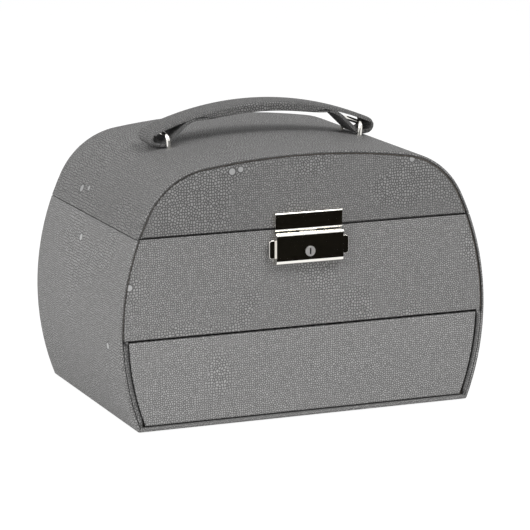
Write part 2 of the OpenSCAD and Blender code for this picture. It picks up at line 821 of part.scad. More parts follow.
// The same end's inner face, up to where it meets the arch's underside
inner_foot = inset(foot_0, foot_1, knee, strap_t);
inner_knee = inset(foot_1, knee, part, strap_t);
last_dir = unit(part - knee);
rel = inner_knee - [0, arch_cz];
last_l = sqrt((rel * last_dir) * (rel * last_dir) - rel * rel + under_r * under_r) - rel * last_dir;
inner_part = inner_knee + last_dir * last_l;
inner_part_a = atan2(inner_part[1] - arch_cz, inner_part[0]);

// Right half of the strap, as a solid teardrop and arch
function strap_outer() = concat(
    arc(0, arch_cz, strap_r, 90, loop_a, 12),
    tail(arc(loop_cx, loop_cz, loop_r, loop_a, -90, 16)),
    [foot_1, knee],
    arc(0, arch_cz, under_r, part_a, 90, 8));

// Hollow of one end loop
function loop_hole() = concat(
    arc(loop_cx, loop_cz, inner_r, loop_a, -90, 16),
    [inner_foot, inner_knee],
    head(arc(0, arch_cz, under_r, inner_part_a, loop_a, 4)));

module handle_strap() {
    color([0.45, 0.45, 0.45]) strip(strap_w) for (side = [0, 1]) mirror([side, 0]) difference() {
        polygon(strap_outer());
        polygon(loop_hole());
    }
}

// Padded layer stitched under the arch between the strap's turned-in ends.
// Its lower face is an arc through its thin ends and its thicker middle.
pad_end_a = part_a + 1.2;
pad_end = [(under_r - strap_t) * cos(pad_end_a), arch_cz + (under_r - strap_t) * sin(pad_end_a)];
pad_mid_z = arch_cz + under_r - strap_pad_t;
pad_cz = (pad_mid_z * pad_mid_z - pad_end * pad_end) / (2 * (pad_mid_z - pad_end[1]));
pad_arc_a = atan2(pad_end[1] - pad_cz, pad_end[0]);

module handle_lining() {
    color([0.3, 0.3, 0.3]) strip(strap_w)
        polygon(concat(arc(0, arch_cz, under_r, part_a, 180 - part_a, 16),
                       arc(0, pad_cz, pad_mid_z - pad_cz, 180 - pad_arc_a, pad_arc_a, 16)));
}

/* ---- Drawer ---- */

drawer_off = wall_t + drawer_gap;
drawer_z0 = rail_z + drawer_gap;
drawer_z1 = bay_top - drawer_gap_top;
board_y = front_y + leather_t + drawer_front_t;
drawer_back_y = back_y - wall_t - drawer_rear_gap;
drawer_floor = drawer_z0 + drawer_board_t;
drawer_side_z1 = drawer_z0 + drawer_side_h;
drawer_in_w = drawer_half_w - drawer_board_t;

module drawer_front_board() {
    color([0.45, 0.36, 0.26])
        slab(drawer_off + leather_t, drawer_z0 + leather_t, drawer_z1 - leather_t,
             front_y + leather_t, board_y);
}

// Leather over the drawer's front, folded round the board's edges
module drawer_front_facing() {
    color([0.55, 0.55, 0.55]) difference() {
        slab(drawer_off, drawer_z0, drawer_z1, front_y, board_y);
        slab(drawer_off + leather_t, drawer_z0 + leather_t, drawer_z1 - leather_t,
             front_y + leather_t, board_y + 1);
    }
}

module drawer_side() {
    block(drawer_in_w, drawer_half_w, board_y, drawer_back_y, drawer_floor, drawer_side_z1);
}

module drawer_side_right() {
    color([0.3, 0.3, 0.3]) drawer_side();
}

module drawer_side_left() {
    color([0.3, 0.3, 0.3]) mirror([1, 0, 0]) drawer_side();
}

module drawer_back() {
    color([0.3, 0.3, 0.3]) block(-drawer_in_w, drawer_in_w, drawer_back_y - drawer_board_t, drawer_back_y,
                                 drawer_floor, drawer_side_z1);
}

module drawer_bottom() {
    color([0.3, 0.3, 0.3])
        block(-drawer_half_w, drawer_half_w, board_y, drawer_back_y, drawer_z0, drawer_floor);
}

module drawer_lining() {
    color([0.2, 0.2, 0.2]) difference() {
        block(-drawer_in_w, drawer_in_w, board_y, drawer_back_y - drawer_board_t,
              drawer_floor, drawer_side_z1 - leather_t);
        block(-drawer_in_w + lining_t, drawer_in_w - lining_t, board_y + lining_t,
              drawer_back_y - drawer_board_t - lining_t, drawer_floor + lining_t, far);
    }
}

drawer_divider_z = drawer_side_z1 - 6;

module drawer_divider_long() {
    color([0.2, 0.2, 0.2]) block(-drawer_in_w + lining_t, drawer_in_w - lining_t,
                                 0, divider_t, drawer_floor + lining_t, drawer_divider_z);
}

module drawer_divider_cross() {
    color([0.2, 0.2, 0.2]) block(-divider_t / 2, divider_t / 2, board_y + lining_t, 0,
                                 drawer_floor + lining_t, drawer_divider_z);
}

bottom_pad();
base_wrap();
base_side_board_left();
base_side_board_right();
base_bottom_board();
base_front_board();
base_front_facing();
base_back_board();
base_back_facing();
deck_board();
drawer_guides();
compartment_liner();
long_divider();
front_cross_divider();
rear_cross_divider();
floor_pad();
ring_roll_1();
ring_roll_2();
ring_roll_3();
ring_roll_4();
ring_roll_5();
lock_body();
lock_back_plate();
lock_spring();
lock_rivets();
hinge_base_leaf_left();
hinge_base_leaf_right();
hinge_pins();
hinge_base_screws();
lid_wrap();
lid_band_board();
lid_front_board();
lid_front_facing();
lid_back_board();
lid_back_facing();
lid_liner();
mirror_backing();
mirror_frame();
mirror_glass();
hinge_lid_leaf_left();
hinge_lid_leaf_right();
hinge_lid_screws();
hasp_plate();
hasp_rivets();
bail_left();
bail_right();
bail_washers();
handle_strap();
handle_lining();
drawer_front_board();
drawer_front_facing();
drawer_side_left();
drawer_side_right();
drawer_back();
drawer_bottom();
drawer_lining();
drawer_divider_long();
drawer_divider_cross();
release_slider();
key_cylinder();
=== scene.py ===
import json
import math
import bmesh
import bpy
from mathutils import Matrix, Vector

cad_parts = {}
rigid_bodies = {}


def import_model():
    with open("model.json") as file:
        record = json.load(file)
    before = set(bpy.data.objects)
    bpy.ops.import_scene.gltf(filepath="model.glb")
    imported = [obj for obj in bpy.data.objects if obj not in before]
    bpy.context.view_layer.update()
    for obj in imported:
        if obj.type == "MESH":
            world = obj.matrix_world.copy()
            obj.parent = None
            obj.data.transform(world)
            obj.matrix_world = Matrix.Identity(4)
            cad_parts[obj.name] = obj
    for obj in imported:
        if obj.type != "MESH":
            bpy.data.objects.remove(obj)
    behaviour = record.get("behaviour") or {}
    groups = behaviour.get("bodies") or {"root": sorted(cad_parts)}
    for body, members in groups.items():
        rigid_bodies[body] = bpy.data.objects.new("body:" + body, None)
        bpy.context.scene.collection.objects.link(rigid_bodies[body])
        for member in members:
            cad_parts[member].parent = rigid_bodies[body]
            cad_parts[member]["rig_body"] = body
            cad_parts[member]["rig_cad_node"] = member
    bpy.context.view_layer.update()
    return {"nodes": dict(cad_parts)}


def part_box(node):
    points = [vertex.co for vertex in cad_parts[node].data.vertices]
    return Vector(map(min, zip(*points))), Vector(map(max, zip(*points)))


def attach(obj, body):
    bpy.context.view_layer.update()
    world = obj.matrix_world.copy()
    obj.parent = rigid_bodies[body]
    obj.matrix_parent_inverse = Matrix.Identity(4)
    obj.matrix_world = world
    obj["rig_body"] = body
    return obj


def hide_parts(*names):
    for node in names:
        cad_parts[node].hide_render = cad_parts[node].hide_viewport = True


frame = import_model()

# ---- Felt pad ----
# A thin sheet of black wool felt, glued flat under the case so that it doesn't scratch a dresser.
# It stops short of the bottom's edges, so it is hidden when the case stands.

MM = 0.001


class Link:
    """An output of one node. Sums and products of links and numbers add Math nodes."""

    def __init__(self, tree, socket):
        self.tree = tree
        self.socket = socket

    def node(self, kind, settings, values, output=0):
        """Adds a node, sets its settings, then its sockets' values or the links into them."""
        made = self.tree.nodes.new("ShaderNode" + kind)
        for name, value in settings.items():
            setattr(made, name, value)
        for name, value in values.items():
            if isinstance(value, Link):
                self.tree.links.new(value.socket, made.inputs[name])
            else:
                made.inputs[name].default_value = value
        return Link(self.tree, made.outputs[output])

    def math(self, operation, first, second):
        return self.node("Math", {"operation": operation}, {0: first, 1: second})

    def __add__(self, other):
        return self.math("ADD", self, other)

    __radd__ = __add__

    def __sub__(self, other):
        return self.math("SUBTRACT", self, other)

    def __rsub__(self, other):
        return self.math("SUBTRACT", other, self)

    def __mul__(self, other):
        return self.math("MULTIPLY", self, other)

    __rmul__ = __mul__

    def ramp(self, low, high):
        """0 up to low, 1 from high on, and a smooth rise between. It falls if low is larger."""
        return self.node("MapRange", {"interpolation_type": "SMOOTHSTEP"},
                         {"Value": self, "From Min": low, "From Max": high})

    def tint(self, dark, light):
        """The colour between two others, or between two links to colours."""
        return self.node("Mix", {"data_type": "RGBA"}, {0: self, 6: dark, 7: light}, output=2)

    def noise(self, scale, detail=2.0):
        return self.node("TexNoise", {}, {"Vector": self, "Scale": scale, "Detail": detail})

    def stretched(self, x, y, z):
        """The same place with its axes scaled, to draw a pattern out along one of them."""
        return self.node("Mapping", {}, {"Vector": self, "Scale": (x, y, z)})

    def bump(self, depth, strength=1.0):
        return self.node("Bump", {}, {"Height": self, "Distance": depth, "Strength": strength})


def grey(value, warmth=0.0):
    """A grey colour, a little warmer or colder than neutral."""
    return (value * (1 + warmth), value, value * (1 - warmth), 1)


def finish(name, look, **plain):
    """A material. look gives what varies over the surface, and plain the sockets that don't."""
    material = bpy.data.materials.new(name)
    material.use_nodes = True
    tree = material.node_tree
    shader = tree.nodes["Principled BSDF"]
    place = Link(tree, tree.nodes.new("ShaderNodeTexCoord").outputs["Object"])
    for socket, link in look(place).items():
        tree.links.new(link.socket, shader.inputs[socket])
    for socket, value in plain.items():
        shader.inputs[socket.replace("_", " ")].default_value = value
    return material


def start(name, add, **where):
    """Adds one primitive with nothing else selected, and keeps its place in its mesh."""
    bpy.ops.object.select_all(action="DESELECT")
    add(**where)
    piece = bpy.context.object
    piece.name = name
    piece.data.name = name
    bpy.ops.object.transform_apply(location=True, rotation=True, scale=True)
    return piece


def block(name, low, high):
    low = Vector(low)
    high = Vector(high)
    return start(name, bpy.ops.mesh.primitive_cube_add, size=1,
                 location=(low + high) / 2, scale=high - low)


def pick(kind, test):
    """In edit mode, selects only the vertices, edges or faces that pass the test.

    The test gets a vertex's place, an edge's two ends, or a face's middle and normal.
    """
    bpy.ops.mesh.select_mode(type=kind)
    bpy.ops.mesh.select_all(action="DESELECT")
    mesh = bmesh.from_edit_mesh(bpy.context.object.data)
    mesh.normal_update()
    facts = {
        "VERT": lambda part: [part.co],
        "EDGE": lambda part: [corner.co for corner in part.verts],
        "FACE": lambda part: [part.calc_center_median(), part.normal],
    }[kind]
    parts = {"VERT": mesh.verts, "EDGE": mesh.edges, "FACE": mesh.faces}[kind]
    for part in parts:
        if test(*facts(part)):
            part.select_set(True)
    bmesh.update_edit_mesh(bpy.context.object.data)


def edit(on=True):
    bpy.ops.object.mode_set(mode="EDIT" if on else "OBJECT")


def modify(piece, kind, **settings):
    """Adds a modifier to the active piece and applies it."""
    bpy.ops.object.modifier_add(type=kind)
    modifier = piece.modifiers[-1]
    for name, value in settings.items():
        setattr(modifier, name, value)
    bpy.ops.object.modifier_apply(modifier=modifier.name)


def ease(piece, width, segments=2, angle=40):
    """Rounds every edge that is sharper than the angle."""
    modify(piece, "BEVEL", width=width, segments=segments, limit_method="ANGLE",
           angle_limit=math.radians(angle), miter_outer="MITER_ARC")


def fit(piece, body, material, slot, *nodes, angle=35):
    """Gives a finished piece its material, its body and the CAD nodes it stands for, which it
    hides. slot is not used.
    """
    bpy.ops.object.select_all(action="DESELECT")
    piece.select_set(True)
    bpy.context.view_layer.objects.active = piece
    piece.data.materials.clear()
    piece.data.materials.append(material)
    bpy.ops.object.shade_smooth_by_angle(angle=math.radians(angle))
    modify(piece, "WEIGHTED_NORMAL", keep_sharp=True)
    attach(piece, body)
    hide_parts(*nodes)
    return piece


def felt_look(place):
    fibres = place.stretched(1, 0.35, 1).noise(2600, 4)
    clumps = place.noise(240, 3)
    shade = fibres.ramp(0.3, 0.7) * 0.7 + clumps * 0.4
    return {
        "Base Color": shade.tint(grey(0.006), grey(0.03, 0.05)),
        "Normal": shade.bump(0.15 * MM),
    }


felt = finish("wool_felt", felt_look, Roughness=0.95, Sheen_Weight=0.35)

pad_low, pad_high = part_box("bottom_pad")
felt_pad = block("felt_pad", pad_low, pad_high)
edit()
pick("EDGE", lambda a, b: abs(a.z - b.z) > 0.1 * MM)
bpy.ops.mesh.bevel(offset=3 * MM, segments=6)
edit(False)
ease(felt_pad, 0.2 * MM)
fit(felt_pad, "base", felt, "felt", "bottom_pad")

# ---- Boards ----
# Grey bookbinder's board, glued up into the box, its deck, the lid and the drawer's front.
# The coverings hide nearly all of it.


def board_look(place):
    fibres = place.stretched(1, 0.25, 1).noise(1400, 4)
    specks = place.noise(420, 2)
    shade = fibres * 0.6 + specks * 0.4
    return {
        "Base Color": shade.tint(grey(0.10, 0.12), grey(0.26, 0.14)),
        "Normal": shade.bump(0.08 * MM),
    }


greyboard = finish("greyboard", board_look, Roughness=0.9)


def repaint(material, *nodes):
    """Gives CAD nodes that keep their shape a better material."""
    for name in nodes:
        node = frame["nodes"][name]
        node.data.materials.clear()
        node.data.materials.append(material)


repaint(greyboard, "base_side_board_left", "base_side_board_right", "base_bottom_board",
        "base_front_board", "base_back_board", "deck_board", "lid_band_board",
        "lid_front_board", "lid_back_board")

# ---- Base skin ----
# One sheet of printed leather round the bottom and both sides of the base, glued to the boards.
# It is folded over the boards' front, rear and upper edges, and its folds show as a narrow rim.

LEATHER = 1 * MM
BOARD = 2.6 * MM
WALL = LEATHER + BOARD
RIM = 2 * MM
SEAM_SHOWN = 0.35 * MM
GROOVE = 0.5 * MM
GROOVE_DEPTH = 0.7 * MM
GROOVE_FOOT = 4 * MM
BAY_RIM_EXTRA = 1 * MM
RAIL_DROP = 0.2 * MM
FACING_SET = 0.3 * MM
INK_AND_SHADE_DEPTH = 0.35 * MM
INK_AND_SHADE_END = 5
TOUCH = 0.1 * MM
# How far before each turned edge the near-black tint begins, which is edge ink and painted shade
# in the seams and grooves.
RAIL_EDGE = 0.7 * MM
BAY_EDGE = 0.3 * MM
GROOVE_EDGE = 0.2 * MM
RIM_EDGE = 0.6 * MM
SPLIT_EDGE = 0.5 * MM
HALF_W = 110 * MM
WIDE_Z = 55 * MM
SIDE_LEAN = 34.33 * MM
SHOULDER_R = 45 * MM
CROWN_R = 413 * MM

base_low, base_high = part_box("base_wrap")
lid_low, lid_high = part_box("lid_wrap")
front, back = base_low.y, base_high.y
case_top = lid_high.z
bay_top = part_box("base_front_facing")[0].z
tray_low, tray_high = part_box("drawer_bottom")

# The outline is a side arc, a shoulder arc and a crown arc, each tangent to the next.
side_rise = case_top - WIDE_Z
side_r = (side_rise ** 2 + SIDE_LEAN ** 2) / (2 * SIDE_LEAN)
side_c = Vector((HALF_W - side_r, WIDE_Z))
crown_c = Vector((0, case_top - CROWN_R))
reach_side = side_r - SHOULDER_R
reach_crown = CROWN_R - SHOULDER_R
between = crown_c - side_c
along = (reach_side ** 2 - reach_crown ** 2 + between.length_squared) / (2 * between.length)
across = math.sqrt(reach_side ** 2 - along ** 2)
ahead = between.normalized()
shoulder_c = side_c + ahead * along + Vector((-ahead.y, ahead.x)) * across
shoulder_a = math.atan2(*reversed(shoulder_c - side_c))
crown_a = math.atan2(*reversed(shoulder_c - crown_c))


def side_x(z, inset=0.0):
    """Half width of the outline at a height on the side arc, set in by inset."""
    return side_c.x + math.sqrt((side_r - inset) ** 2 - (z - WIDE_Z) ** 2)


def pen(name, place):
    """Starts a line as a single selected vertex, and leaves the piece in edit mode."""
    piece = start(name, bpy.ops.mesh.primitive_plane_add, size=MM, location=place)
    edit()
    bpy.ops.mesh.select_mode(type="VERT")
    bpy.ops.mesh.select_all(action="SELECT")
    bpy.ops.mesh.merge(type="CENTER")
    return piece


def draw_arc(centre, y, angle, steps):
    """Goes on with the line round a centre in the plane of X and Z, from +X towards +Z."""
    bpy.ops.mesh.spin(steps=steps, angle=angle, center=(centre.x, y, centre.y), axis=(0, 1, 0))


def draw_outline(name, inset, low, y):
    """Draws the outline at depth y as one face, from the height low up over the crown."""
    piece = pen(name, (side_x(low, inset), y, low))
    foot_a = math.asin((low - WIDE_Z) / (side_r - inset))
    left = [Vector((-shoulder_c.x, shoulder_c.y)), Vector((-side_c.x, side_c.y))]
    turns = [
        (side_c, shoulder_a - foot_a, 20),
        (shoulder_c, crown_a - shoulder_a, 16),
        (crown_c, math.pi - 2 * crown_a, 14),
        (left[0], crown_a - shoulder_a, 16),
        (left[1], shoulder_a - foot_a, 20),
    ]
    for centre, angle, steps in turns:
        draw_arc(centre, y, angle, steps)
    bpy.ops.mesh.select_all(action="SELECT")
    bpy.ops.mesh.edge_face_add()
    bpy.ops.mesh.normals_make_consistent(inside=False)
    return piece


def cut(z, **clear):
    """In edit mode, cuts the whole piece at a height."""
    bpy.ops.mesh.select_all(action="SELECT")
    bpy.ops.mesh.bisect(plane_co=(0, 0, z), plane_no=(0, 0, 1), **clear)


def place_on_outline(x, z):
    """How far along the outline from its top a place is, and how far inside the outline."""
    x = abs(x)
    here = Vector((x, z))
    arm = here - crown_c
    angle = math.atan2(arm.y, arm.x)
    if angle >= crown_a:
        return CROWN_R * (math.pi / 2 - angle), CROWN_R - arm.length
    length = CROWN_R * (math.pi / 2 - crown_a)
    arm = here - shoulder_c
    angle = math.atan2(arm.y, arm.x)
    if angle >= shoulder_a:
        return length + SHOULDER_R * (crown_a - angle), SHOULDER_R - arm.length
    length += SHOULDER_R * (crown_a - shoulder_a)
    arm = here - side_c
    angle = math.atan2(arm.y, arm.x)
    return length + side_r * (shoulder_a - angle), side_r - arm.length


def lay_hide(piece, where):
    """Writes the piece's place on the flat hide, in metres, into its UV map."""
    layer = piece.data.uv_layers.new(name="hide")
    piece.data.uv_layers.active = layer
    for loop in piece.data.loops:
        layer.data[loop.index].uv = where(piece.data.vertices[loop.vertex_index].co)


def on_skin(co):
    """Place on the hide of a point of a skin: round the outline, and over the rims."""
    length, inset = place_on_outline(co.x, co.z)
    side = math.copysign(1, co.x)
    if min(co.y - front, back - co.y) < LEATHER:
        return side * length, co.y + math.copysign(inset, co.y)
    return side * (length + math.copysign(inset, WIDE_Z - co.z)), co.y


def on_face(co):
    return co.x, co.z


def darken(piece, depth):
    """Marks the turned edges for a near-black tint of edge ink and painted seam shade, which
    stops where a fold lies flat again.
    """
    edges = piece.data.attributes.new("edge_ink_and_shade", "FLOAT", "POINT")
    for place, vertex in zip(edges.data, piece.data.vertices):
        past = depth(vertex.co) / INK_AND_SHADE_DEPTH
        place.value = 0 if past > INK_AND_SHADE_END else min(max(past, 0), 1)


def past_rim(co):
    """How far a point of a skin is past the visible edge of its rim, or down a split's side."""
    inset = place_on_outline(co.x, co.z)[1]
    if co.z < bay_top - TOUCH and co.y - front < LEATHER + TOUCH:
        grooved = abs(inset - RIM) < GROOVE
        on_rail = co.z < tray_low.z + TOUCH / 2 and inset > WALL - RAIL_EDGE - TOUCH
        edge = WALL - RAIL_EDGE if on_rail else WALL + BAY_RIM_EXTRA - BAY_EDGE
        return max(inset - edge, co.y - front - GROOVE_EDGE if grooved else 0)
    if min(co.y - front, back - co.y) < LEATHER + TOUCH:
        return inset - (RIM - RIM_EDGE)
    return inset - SPLIT_EDGE


def skin(name, low, high):
    """Leather round the outline between two heights, with a rim at the front and the rear."""
    piece = draw_outline(name, 0, pad_high.z, front)
    bpy.ops.mesh.extrude_region_move(TRANSFORM_OT_translate={"value": (0, back - front, 0)})
    bpy.ops.mesh.select_all(action="SELECT")
    bpy.ops.mesh.normals_make_consistent(inside=False)
    pick("FACE", lambda middle, normal: abs(normal.y) > 0.9)
    bpy.ops.mesh.inset(thickness=RIM - GROOVE / 2)
    bpy.ops.mesh.inset(thickness=GROOVE)
    bpy.ops.mesh.inset(thickness=WALL - RIM - GROOVE / 2)
    bpy.ops.mesh.delete(type="FACE")
    bpy.ops.mesh.select_mode(type="EDGE")
    bpy.ops.mesh.select_all(action="DESELECT")
    bpy.ops.mesh.edges_select_sharp(sharpness=math.radians(60))
    bpy.ops.mesh.bevel(offset=0.9 * MM, segments=3)
    cut(bay_top)
    if low > pad_high.z:
        cut(low, clear_inner=True)
    if high < case_top:
        cut(high, clear_outer=True)
    return piece


def outside(middle, normal):
    """A face of a skin that belongs to the wide part of a rim, which only the drawer bay has."""
    inset = place_on_outline(middle.x, middle.z)[1]
    near_end = min(middle.y - front, back - middle.y) < TOUCH
    return near_end and inset > RIM - GROOVE / 2 and middle.z > RIM + GROOVE + pad_high.z


def fold_over(z, width):
    """In edit mode, folds both sides' free edges at a height inwards over the boards."""
    for side in (-1, 1):
        edge_x = side * side_x(z)

        def on_edge(a, b):
            level = max(abs(a.z - z), abs(b.z - z)) < 0.01 * MM
            return level and max(abs(a.x - edge_x), abs(b.x - edge_x)) < TOUCH

        pick("EDGE", on_edge)
        bpy.ops.mesh.extrude_region_move(
            TRANSFORM_OT_translate={"value": (-side * width, 0, 0)})


BEAD_GAP = 0.04


def shagreen(name, dye, spots=(), coarse=0.5):
    """Leather printed like ray skin: pale round beads on a darker ground.

    coarse is the share of the areas with coarse beads. spots are the few large pale beads of
    the print, each with its place on the hide and its radius.
    """

    def look(place):
        hide = place.node("UVMap", {"uv_map": "hide"}, {})

        def beads(size):
            cells = {"Vector": hide, "Scale": 1 / size, "Randomness": 0.8}
            walls = hide.node("TexVoronoi", {"voronoi_dimensions": "2D",
                                             "feature": "DISTANCE_TO_EDGE"}, cells)
            own = hide.node("TexVoronoi", {"voronoi_dimensions": "2D"}, cells, output=1)
            tone = own.node("SeparateColor", {}, {"Color": own})
            return walls.ramp(BEAD_GAP, BEAD_GAP + 0.26) * (tone * 0.4 + 0.7)

        areas = hide.noise(17, 1).ramp(0.66 - coarse * 0.3, 0.8 - coarse * 0.3)
        beaded = areas * beads(1.6 * MM) + (1 - areas) * beads(1.22 * MM)
        strength = hide.noise(27, 2).ramp(0.25, 0.6) * 0.5 + areas * 0.2 + 0.75
        shade = (beaded - 0.45) * strength + 0.45
        shade = shade + (hide.noise(1300, 3) - 0.5) * 0.36
        height = beaded
        pale = None
        for u, v, radius in spots:
            away = hide.node("VectorMath", {"operation": "DISTANCE"},
                             {0: hide, 1: (u, v, 0)}, output=1)
            spot = away.ramp(radius, radius * 0.8)
            ring = away.ramp(radius * 1.35, radius * 1.1)
            shade = shade * (1 - ring)
            height = height * (1 - ring) + spot * 1.3
            pale = spot if pale is None else pale + spot
        cloud = hide.noise(7, 2).ramp(0.3, 0.7)
        ground = cloud.tint(grey(dye * 0.5, 0.01), grey(dye * 0.54, 0.01))
        # The beads' pale colour is print and painted highlight together, standing in for the
        # glints on them.
        bead_and_glint = cloud.tint(grey(dye * 1.5, 0.01), grey(dye * 1.58, 0.01))
        colour = shade.tint(ground, bead_and_glint)
        if pale is not None:
            colour = (pale * 0.8).tint(colour, grey(dye * 2.3))
        # Turned edges and grooves go near black: edge ink, and painted shade where the seams lie
        # in shadow.
        edge_ink_and_shade = place.node("Attribute", {"attribute_name": "edge_ink_and_shade"}, {}, output=2)
        return {
            "Base Color": edge_ink_and_shade.tint(colour, grey(0.02)),
            "Roughness": height.ramp(-0.4, 1.6) * -0.16 + 0.62,
            "Normal": height.bump(0.07 * MM, 0.6),
        }

    return finish(name, look, Specular_IOR_Level=0.04)


base_hide = shagreen("base_hide", 0.228, coarse=0.7, spots=[
    (-0.1042, 0.0821, 1.9 * MM), (-0.1321, 0.0075, 2.2 * MM), (-0.1823, -0.0515, 2 * MM)])

base_skin = skin("base_skin", pad_high.z, base_high.z)


def above_bay(middle, normal):
    return outside(middle, normal) and (middle.z > bay_top or middle.y > 0)


def in_groove(middle, normal):
    """The sewn-down line beside the drawer, where the rim meets the bay's wide edge."""
    inset = place_on_outline(middle.x, middle.z)[1]
    at_front = middle.y < front + TOUCH and middle.z > GROOVE_FOOT
    return abs(inset - RIM) < GROOVE / 4 and at_front


pick("FACE", above_bay)
bpy.ops.mesh.delete(type="FACE")
pick("FACE", in_groove)
bpy.ops.mesh.extrude_region_move(TRANSFORM_OT_translate={"value": (0, GROOVE_DEPTH, 0)})
fold_over(base_high.z, WALL)
edit(False)
# The leather beside the drawer reaches a little past the boards. Near the drawer's floor it
# doesn't, and it stays just below the floor's underside, which slides over it.
for vertex in base_skin.data.vertices:
    on_edge = abs(place_on_outline(vertex.co.x, vertex.co.z)[1] - WALL) < TOUCH / 2
    if on_edge and vertex.co.y < front + TOUCH and vertex.co.z < bay_top + TOUCH:
        past = BAY_RIM_EXTRA if vertex.co.z > tray_high.z else 0.1 * MM
        vertex.co.x -= math.copysign(past, vertex.co.x)
        if vertex.co.z < tray_high.z:
            vertex.co.z = min(vertex.co.z, tray_low.z - RAIL_DROP)
lay_hide(base_skin, on_skin)
modify(base_skin, "SOLIDIFY", thickness=LEATHER, offset=-1, use_even_offset=True)
ease(base_skin, 0.3 * MM, angle=50)
darken(base_skin, past_rim)
fit(base_skin, "base", base_hide, "base_leather", "base_wrap")

# ---- Base facings ----
# A leather panel glued over the front board and one over the rear board, a little behind the rim.
# Each is folded over its board's upper edge, and the front one over the lower edge too.


def panel(name, node, inset, body, material, slot, thick=LEATHER - FACING_SET, all_round=False):
    """Leather over a board's outer face, with its folds. The CAD facing's box gives its depth."""
    low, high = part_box(node)
    rear = low.y > 0
    face, inner = (high.y, low.y) if rear else (low.y, high.y)
    outward = 1 if rear else -1
    piece = draw_outline(name, inset, max(low.z, pad_high.z), face)
    bpy.ops.mesh.extrude_region_move(TRANSFORM_OT_translate={"value": (0, inner - face, 0)})
    level = high.z < case_top - inset - 0.1 * MM
    if level:
        bpy.ops.mesh.select_all(action="SELECT")
        bpy.ops.mesh.bisect(plane_co=(0, 0, high.z), plane_no=(0, 0, 1), clear_outer=True,
                            use_fill=True)
    bpy.ops.mesh.select_all(action="SELECT")
    bpy.ops.mesh.normals_make_consistent(inside=False)
    pick("EDGE", lambda a, b: max(abs(a.y - face), abs(b.y - face)) < 0.01 * MM)
    bpy.ops.mesh.bevel(offset=0.7 * MM, segments=3)

    def spare(middle, normal):
        if normal.y * outward < -0.9:
            return True
        fold = abs(middle.z - low.z) < 0.01 * MM or (level and abs(middle.z - high.z) < 0.01 * MM)
        return abs(normal.y) < 0.1 and not fold and not all_round

    pick("FACE", spare)
    bpy.ops.mesh.delete(type="FACE")
    edit(False)
    lay_hide(piece, on_face)
    modify(piece, "SOLIDIFY", thickness=thick, offset=-1, use_even_offset=True)
    # The folds past the face get the near-black tint: edge ink and painted seam shade.
    darken(piece, lambda co: abs(co.y - face) - 0.45 * MM)
    return fit(piece, body, material, slot, node)


for end in ("front", "back"):
    panel("base_" + end + "_panel", "base_" + end + "_facing", RIM + SEAM_SHOWN, "base",
          base_hide, "base_leather")

# ---- Drawer guides ----
# Two waxed hardwood strips glued along the bottom board, which keep the drawer straight.


def eased(name, node, width, segments=2, angle=40):
    """A copy of a hard CAD part, with its flat faces merged and its edges rounded."""
    source = frame["nodes"][node]
    bpy.ops.object.select_all(action="DESELECT")
    piece = source.copy()
    piece.data = source.data.copy()
    bpy.context.scene.collection.objects.link(piece)
    piece.name = name
    piece.data.name = name
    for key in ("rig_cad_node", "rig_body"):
        if key in piece:
            del piece[key]
    piece.parent = None
    piece.matrix_world = source.matrix_world.copy()
    piece.select_set(True)
    bpy.context.view_layer.objects.active = piece
    bpy.ops.object.transform_apply(location=True, rotation=True, scale=True)
    bpy.ops.mesh.customdata_custom_splitnormals_clear()
    edit()
    bpy.ops.mesh.select_all(action="SELECT")
    bpy.ops.mesh.remove_doubles(threshold=0.001 * MM)
    bpy.ops.mesh.dissolve_limited(angle_limit=math.radians(1))
    edit(False)
    ease(piece, width, segments, angle)
    return piece


def wood_look(place):
    grain = place.stretched(1, 0.05, 1).noise(900, 4)
    rings = place.stretched(1, 0.1, 1).noise(170, 2)
    shade = grain * 0.6 + rings * 0.5
    return {
        "Base Color": shade.tint((0.36, 0.23, 0.11, 1), (0.62, 0.46, 0.28, 1)),
        "Roughness": grain * 0.2 + 0.35,
        "Normal": shade.bump(0.05 * MM, 0.4),
    }


hardwood = finish("waxed_hardwood", wood_look)
fit(eased("guide_strips", "drawer_guides", 0.5 * MM), "base", hardwood, "guide_wood",
    "drawer_guides")

# ---- Compartment lining and dividers ----
# Dark suede cloth glued inside the compartment, over its walls and its floor.
# The dividers are board covered with the same suede, folded round over their tops.


def suede_look(place):
    nap = place.noise(2100, 5)
    brushed = place.stretched(1, 0.5, 0.7).noise(48, 3)
    shade = nap.ramp(0.3, 0.7) * 0.45 + brushed.ramp(0.35, 0.65) * 0.5
    return {
        "Base Color": shade.tint(grey(0.022, 0.02), grey(0.075, 0.02)),
        "Normal": nap.bump(0.12 * MM, 0.6),
    }


suede = finish("suede", suede_look, Roughness=0.95, Sheen_Weight=0.25, Sheen_Roughness=0.6,
               Specular_IOR_Level=0.15)

fit(eased("compartment_lining", "compartment_liner", 0.4 * MM), "base", suede, "suede",
    "compartment_liner")
for name in ("long_divider", "front_cross_divider", "rear_cross_divider"):
    fit(eased(name + "_board", name, 0.9 * MM, 3), "base", suede, "suede", name)

# ---- Floor pad ----
# A thin foam pad covered with suede, loose-laid on the floor in front of the long divider.


PRESSURE = 4
CLOTH_STEPS = 20


def swell(piece, voxel, cap, floor):
    """Blows a pad up as air-tight cloth, by no more than cap, and keeps its foot flat."""
    modify(piece, "REMESH", mode="VOXEL", voxel_size=voxel)
    before = [vertex.co.copy() for vertex in piece.data.vertices]
    bpy.ops.object.modifier_add(type="CLOTH")
    cloth = piece.modifiers[-1]
    cloth.settings.use_pressure = True
    cloth.settings.uniform_pressure_force = PRESSURE
    cloth.settings.effector_weights.gravity = 0
    for step in range(CLOTH_STEPS):
        bpy.context.scene.frame_set(step + 1)
    bpy.ops.object.modifier_apply(modifier=cloth.name)
    bpy.context.scene.frame_set(1)
    for vertex, start_place in zip(piece.data.vertices, before):
        move = vertex.co - start_place
        if move.length > cap:
            vertex.co = start_place + move * (cap / move.length)
        vertex.co.z = max(vertex.co.z, floor)
    modify(piece, "SUBSURF", levels=1, render_levels=1)


PAD_ROOM = 0.9 * MM

